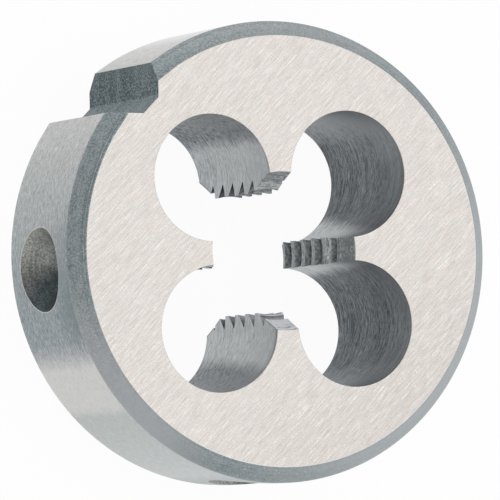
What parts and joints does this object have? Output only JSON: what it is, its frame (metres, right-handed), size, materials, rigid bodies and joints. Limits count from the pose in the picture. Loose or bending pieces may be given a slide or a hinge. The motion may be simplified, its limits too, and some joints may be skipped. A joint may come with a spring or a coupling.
{
  "type": "threading die",
  "caption": "Round solid die that cuts an outside screw thread, with toothed lands between open chip holes, a V groove and cone seats in its rim.",
  "frame": {"origin": "middle of the back face, on the thread's axis", "axes": "+Z along the thread's axis, out of the front face; the lands are on +X, +Y, -X and -Y, and the rim's V groove is in the -X +Y quarter"},
  "size_m": [0.025, 0.025, 0.009],
  "materials": {
    "tool_steel": "ground faces, fine-turned rim, matte chamfers and holes"
  },
  "bodies": {
    "root": {"threading_die": "tool_steel"}
  },
  "joints": []
}
